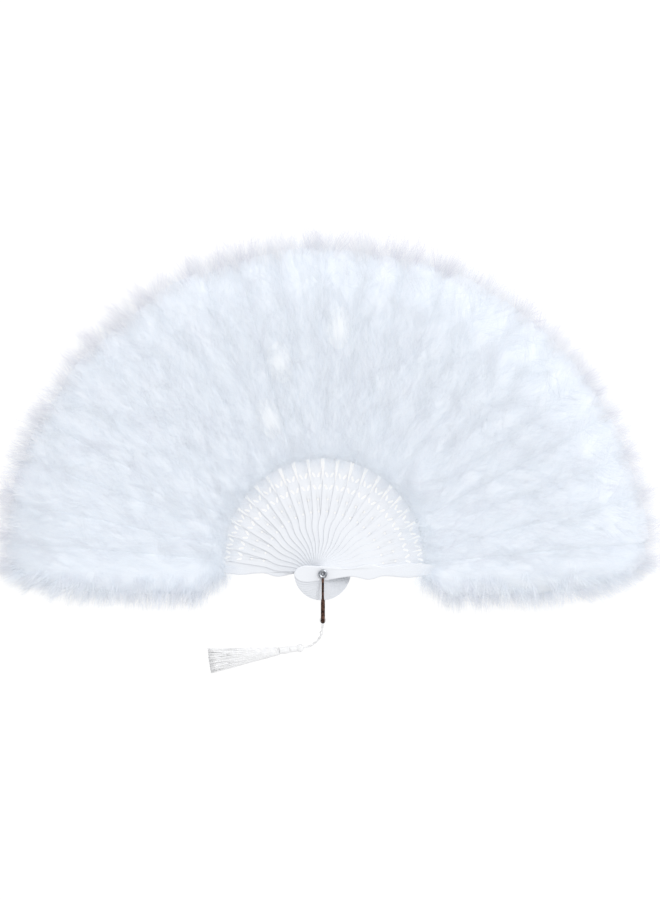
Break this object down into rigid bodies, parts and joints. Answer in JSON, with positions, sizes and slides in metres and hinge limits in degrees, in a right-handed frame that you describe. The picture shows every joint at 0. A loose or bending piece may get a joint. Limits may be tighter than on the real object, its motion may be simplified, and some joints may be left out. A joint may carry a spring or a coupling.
{
  "type": "feather fan",
  "caption": "Open folding fan with pierced plastic sticks turning on a rivet, white down feather tufts, a metal bail and a tassel on a short cord.",
  "frame": {"origin": "on the rivet's axis, at the outer face of its rear head, where the open fan rests on a surface", "axes": "+Z along the rivet, from the rear guard to the front guard; +Y up the middle of the open fan; +X to the front guard's side"},
  "size_m": [0.5252, 0.3548, 0.0463],
  "materials": {
    "stick_plastic": "satin",
    "down_feather": "matte",
    "rivet_steel": "satin",
    "bail_metal": "satin",
    "tassel_yarn": "matte"
  },
  "bodies": {
    "rear_guard": {"rear_guard": "stick_plastic", "rear_guard_tuft": "down_feather", "rivet_pin": "rivet_steel", "rear_washer": "rivet_steel", "front_washer": "rivet_steel"},
    "stick_01": {"stick_01": "stick_plastic", "tuft_01": "down_feather"},
    "stick_02": {"stick_02": "stick_plastic", "tuft_02": "down_feather"},
    "stick_03": {"stick_03": "stick_plastic", "tuft_03": "down_feather"},
    "stick_04": {"stick_04": "stick_plastic", "tuft_04": "down_feather"},
    "stick_05": {"stick_05": "stick_plastic", "tuft_05": "down_feather"},
    "stick_06": {"stick_06": "stick_plastic", "tuft_06": "down_feather"},
    "stick_07": {"stick_07": "stick_plastic", "tuft_07": "down_feather"},
    "stick_08": {"stick_08": "stick_plastic", "tuft_08": "down_feather"},
    "stick_09": {"stick_09": "stick_plastic", "tuft_09": "down_feather"},
    "stick_10": {"stick_10": "stick_plastic", "tuft_10": "down_feather"},
    "stick_11": {"stick_11": "stick_plastic", "tuft_11": "down_feather"},
    "stick_12": {"stick_12": "stick_plastic", "tuft_12": "down_feather"},
    "stick_13": {"stick_13": "stick_plastic", "tuft_13": "down_feather"},
    "stick_14": {"stick_14": "stick_plastic", "tuft_14": "down_feather"},
    "stick_15": {"stick_15": "stick_plastic", "tuft_15": "down_feather"},
    "stick_16": {"stick_16": "stick_plastic", "tuft_16": "down_feather"},
    "stick_17": {"stick_17": "stick_plastic", "tuft_17": "down_feather"},
    "stick_18": {"stick_18": "stick_plastic", "tuft_18": "down_feather"},
    "stick_19": {"stick_19": "stick_plastic", "tuft_19": "down_feather"},
    "stick_20": {"stick_20": "stick_plastic", "tuft_20": "down_feather"},
    "stick_21": {"stick_21": "stick_plastic", "tuft_21": "down_feather"},
    "stick_22": {"stick_22": "stick_plastic", "tuft_22": "down_feather"},
    "front_guard": {"front_guard": "stick_plastic", "front_guard_tuft": "down_feather"},
    "bail": {"bail": "bail_metal"},
    "tassel": {"tassel_cord": "tassel_yarn", "tassel_head": "tassel_yarn", "tassel_binding": "tassel_yarn", "tassel_skirt": "tassel_yarn"}
  },
  "joints": [
    {"name": "fold", "type": "hinge", "parent": "rear_guard", "child": "front_guard", "pos_m": [0, 0, 0.0296], "axis": [0, 0, 1], "range_deg": [0, 176], "deforming": ["rear_guard_tuft", "tuft_01", "tuft_02", "tuft_03", "tuft_04", "tuft_05", "tuft_06", "tuft_07", "tuft_08", "tuft_09", "tuft_10", "tuft_11", "tuft_12", "tuft_13", "tuft_14", "tuft_15", "tuft_16", "tuft_17", "tuft_18", "tuft_19", "tuft_20", "tuft_21", "tuft_22", "front_guard_tuft"]},
    {"name": "stick_01_turn", "type": "hinge", "parent": "rear_guard", "child": "stick_01", "pos_m": [0, 0, 0.00613], "axis": [0, 0, 1], "range_deg": [0, 7.7]},
    {"name": "stick_02_turn", "type": "hinge", "parent": "rear_guard", "child": "stick_02", "pos_m": [0, 0, 0.00717], "axis": [0, 0, 1], "range_deg": [0, 15.4]},
    {"name": "stick_03_turn", "type": "hinge", "parent": "rear_guard", "child": "stick_03", "pos_m": [0, 0, 0.00822], "axis": [0, 0, 1], "range_deg": [0, 23]},
    {"name": "stick_04_turn", "type": "hinge", "parent": "rear_guard", "child": "stick_04", "pos_m": [0, 0, 0.00928], "axis": [0, 0, 1], "range_deg": [0, 30.7]},
    {"name": "stick_05_turn", "type": "hinge", "parent": "rear_guard", "child": "stick_05", "pos_m": [0, 0, 0.01033], "axis": [0, 0, 1], "range_deg": [0, 38.3]},
    {"name": "stick_06_turn", "type": "hinge", "parent": "rear_guard", "child": "stick_06", "pos_m": [0, 0, 0.01137], "axis": [0, 0, 1], "range_deg": [0, 46]},
    {"name": "stick_07_turn", "type": "hinge", "parent": "rear_guard", "child": "stick_07", "pos_m": [0, 0, 0.01243], "axis": [0, 0, 1], "range_deg": [0, 53.6]},
    {"name": "stick_08_turn", "type": "hinge", "parent": "rear_guard", "child": "stick_08", "pos_m": [0, 0, 0.01348], "axis": [0, 0, 1], "range_deg": [0, 61.3]},
    {"name": "stick_09_turn", "type": "hinge", "parent": "rear_guard", "child": "stick_09", "pos_m": [0, 0, 0.01452], "axis": [0, 0, 1], "range_deg": [0, 68.9]},
    {"name": "stick_10_turn", "type": "hinge", "parent": "rear_guard", "child": "stick_10", "pos_m": [0, 0, 0.01558], "axis": [0, 0, 1], "range_deg": [0, 76.6]},
    {"name": "stick_11_turn", "type": "hinge", "parent": "rear_guard", "child": "stick_11", "pos_m": [0, 0, 0.01663], "axis": [0, 0, 1], "range_deg": [0, 84.2]},
    {"name": "stick_12_turn", "type": "hinge", "parent": "rear_guard", "child": "stick_12", "pos_m": [0, 0, 0.01767], "axis": [0, 0, 1], "range_deg": [0, 91.9]},
    {"name": "stick_13_turn", "type": "hinge", "parent": "rear_guard", "child": "stick_13", "pos_m": [0, 0, 0.01872], "axis": [0, 0, 1], "range_deg": [0, 99.5]},
    {"name": "stick_14_turn", "type": "hinge", "parent": "rear_guard", "child": "stick_14", "pos_m": [0, 0, 0.01978], "axis": [0, 0, 1], "range_deg": [0, 107.2]},
    {"name": "stick_15_turn", "type": "hinge", "parent": "rear_guard", "child": "stick_15", "pos_m": [0, 0, 0.02082], "axis": [0, 0, 1], "range_deg": [0, 114.8]},
    {"name": "stick_16_turn", "type": "hinge", "parent": "rear_guard", "child": "stick_16", "pos_m": [0, 0, 0.02187], "axis": [0, 0, 1], "range_deg": [0, 122.5]},
    {"name": "stick_17_turn", "type": "hinge", "parent": "rear_guard", "child": "stick_17", "pos_m": [0, 0, 0.02293], "axis": [0, 0, 1], "range_deg": [0, 130.1]},
    {"name": "stick_18_turn", "type": "hinge", "parent": "rear_guard", "child": "stick_18", "pos_m": [0, 0, 0.02397], "axis": [0, 0, 1], "range_deg": [0, 137.8]},
    {"name": "stick_19_turn", "type": "hinge", "parent": "rear_guard", "child": "stick_19", "pos_m": [0, 0, 0.02502], "axis": [0, 0, 1], "range_deg": [0, 145.4]},
    {"name": "stick_20_turn", "type": "hinge", "parent": "rear_guard", "child": "stick_20", "pos_m": [0, 0, 0.02608], "axis": [0, 0, 1], "range_deg": [0, 153.1]},
    {"name": "stick_21_turn", "type": "hinge", "parent": "rear_guard", "child": "stick_21", "pos_m": [0, 0, 0.02712], "axis": [0, 0, 1], "range_deg": [0, 160.7]},
    {"name": "stick_22_turn", "type": "hinge", "parent": "rear_guard", "child": "stick_22", "pos_m": [0, 0, 0.02817], "axis": [0, 0, 1], "range_deg": [0, 168.4]},
    {"name": "bail_swing", "type": "hinge", "parent": "rear_guard", "child": "bail", "pos_m": [0, 0, 0.01715], "axis": [0, 0, 1], "range_deg": [-10, 75]},
    {"name": "tassel_swing", "type": "hinge", "parent": "bail", "child": "tassel", "pos_m": [0, -0.0388, 0.017], "axis": [0, 0, 1], "range_deg": [-6, 45]}
  ],
  "couplings": [
    {"joint": "stick_01_turn", "follows": "fold", "ratio": 0.043478},
    {"joint": "stick_02_turn", "follows": "fold", "ratio": 0.086957},
    {"joint": "stick_03_turn", "follows": "fold", "ratio": 0.13043},
    {"joint": "stick_04_turn", "follows": "fold", "ratio": 0.17391},
    {"joint": "stick_05_turn", "follows": "fold", "ratio": 0.21739},
    {"joint": "stick_06_turn", "follows": "fold", "ratio": 0.26087},
    {"joint": "stick_07_turn", "follows": "fold", "ratio": 0.30435},
    {"joint": "stick_08_turn", "follows": "fold", "ratio": 0.34783},
    {"joint": "stick_09_turn", "follows": "fold", "ratio": 0.3913},
    {"joint": "stick_10_turn", "follows": "fold", "ratio": 0.43478},
    {"joint": "stick_11_turn", "follows": "fold", "ratio": 0.47826},
    {"joint": "stick_12_turn", "follows": "fold", "ratio": 0.52174},
    {"joint": "stick_13_turn", "follows": "fold", "ratio": 0.56522},
    {"joint": "stick_14_turn", "follows": "fold", "ratio": 0.6087},
    {"joint": "stick_15_turn", "follows": "fold", "ratio": 0.65217},
    {"joint": "stick_16_turn", "follows": "fold", "ratio": 0.69565},
    {"joint": "stick_17_turn", "follows": "fold", "ratio": 0.73913},
    {"joint": "stick_18_turn", "follows": "fold", "ratio": 0.78261},
    {"joint": "stick_19_turn", "follows": "fold", "ratio": 0.82609},
    {"joint": "stick_20_turn", "follows": "fold", "ratio": 0.86957},
    {"joint": "stick_21_turn", "follows": "fold", "ratio": 0.91304},
    {"joint": "stick_22_turn", "follows": "fold", "ratio": 0.95652}
  ]
}
